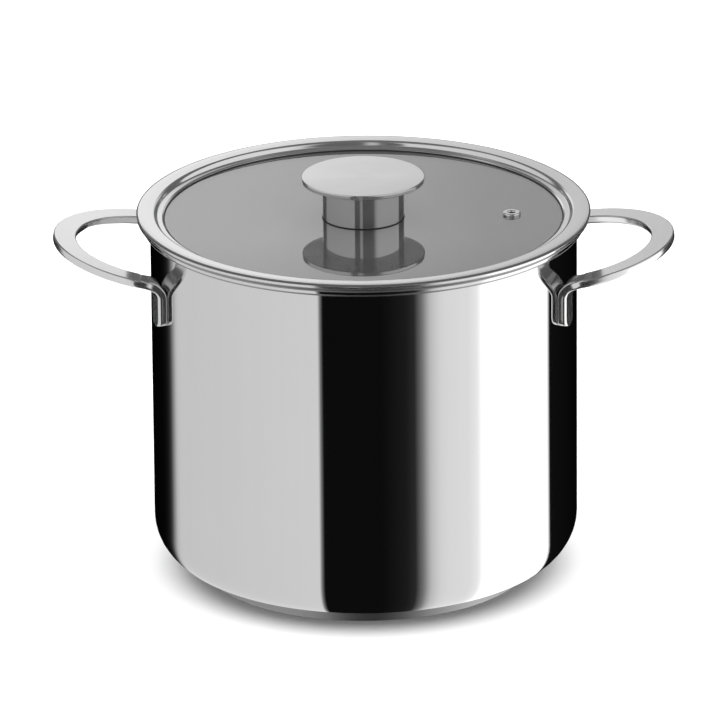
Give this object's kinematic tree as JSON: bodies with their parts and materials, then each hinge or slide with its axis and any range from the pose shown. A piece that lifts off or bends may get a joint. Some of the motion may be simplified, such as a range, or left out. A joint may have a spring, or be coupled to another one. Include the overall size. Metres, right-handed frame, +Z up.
{
  "type": "water bath canner",
  "caption": "Tall round polished steel stock pot for water bath canning, with two strap loop handles, a recessed glass lid with knob and steam vent, and a wire jar rack inside.",
  "frame": {"origin": "middle of the base's underside", "axes": "+Z up along the pot's axis, handles on +X and -X, steam vent towards +X"},
  "size_m": [0.3522, 0.2568, 0.2328],
  "materials": {
    "polished_steel": "mirror polished stainless steel",
    "brushed_knob_steel": "fine satin turned steel",
    "base_steel": "satin turned steel, a little darker than the wall",
    "plain_steel": "plain bright steel",
    "rack_wire": "electropolished stainless steel wire",
    "core_aluminium": "bare, impact bonded inside the base",
    "tempered_glass": "clear polished tempered glass",
    "black_silicone": "matte silicone rubber"
  },
  "bodies": {
    "pot": {"pot_shell": "polished_steel", "base_core": "core_aluminium", "base_cap": "base_steel", "handle_left": "polished_steel", "handle_right": "polished_steel"},
    "lid": {"lid_rim": "polished_steel", "lid_glass": "tempered_glass", "glass_seal": "black_silicone", "vent_eyelet": "polished_steel", "knob_disc": "brushed_knob_steel", "knob_neck": "polished_steel", "knob_boss": "plain_steel", "knob_screw": "plain_steel", "knob_washer": "plain_steel", "knob_gasket_upper": "black_silicone", "knob_gasket_lower": "black_silicone"},
    "rack": {"rack_outer_ring": "rack_wire", "rack_crossbars": "rack_wire", "rack_shelf_wires": "rack_wire", "rack_feet": "rack_wire", "rack_eyes": "rack_wire"},
    "rack_bail_left": {"rack_handle_left": "rack_wire"},
    "rack_bail_right": {"rack_handle_right": "rack_wire"}
  },
  "joints": [
    {"name": "lid_lift", "type": "slide", "parent": "pot", "child": "lid", "axis": [0, 0, 1], "range_m": [0, 0.25]},
    {"name": "rack_lift", "type": "slide", "parent": "pot", "child": "rack", "axis": [0, 0, 1], "range_m": [0, 0.06]},
    {"name": "rack_handle_left_fold", "type": "hinge", "parent": "rack", "child": "rack_bail_left", "pos_m": [-0.09958, 0, 0.0287], "axis": [0, -1, 0], "range_deg": [0, 95]},
    {"name": "rack_handle_right_fold", "type": "hinge", "parent": "rack", "child": "rack_bail_right", "pos_m": [0.09958, 0, 0.0287], "axis": [0, 1, 0], "range_deg": [0, 95]}
  ]
}
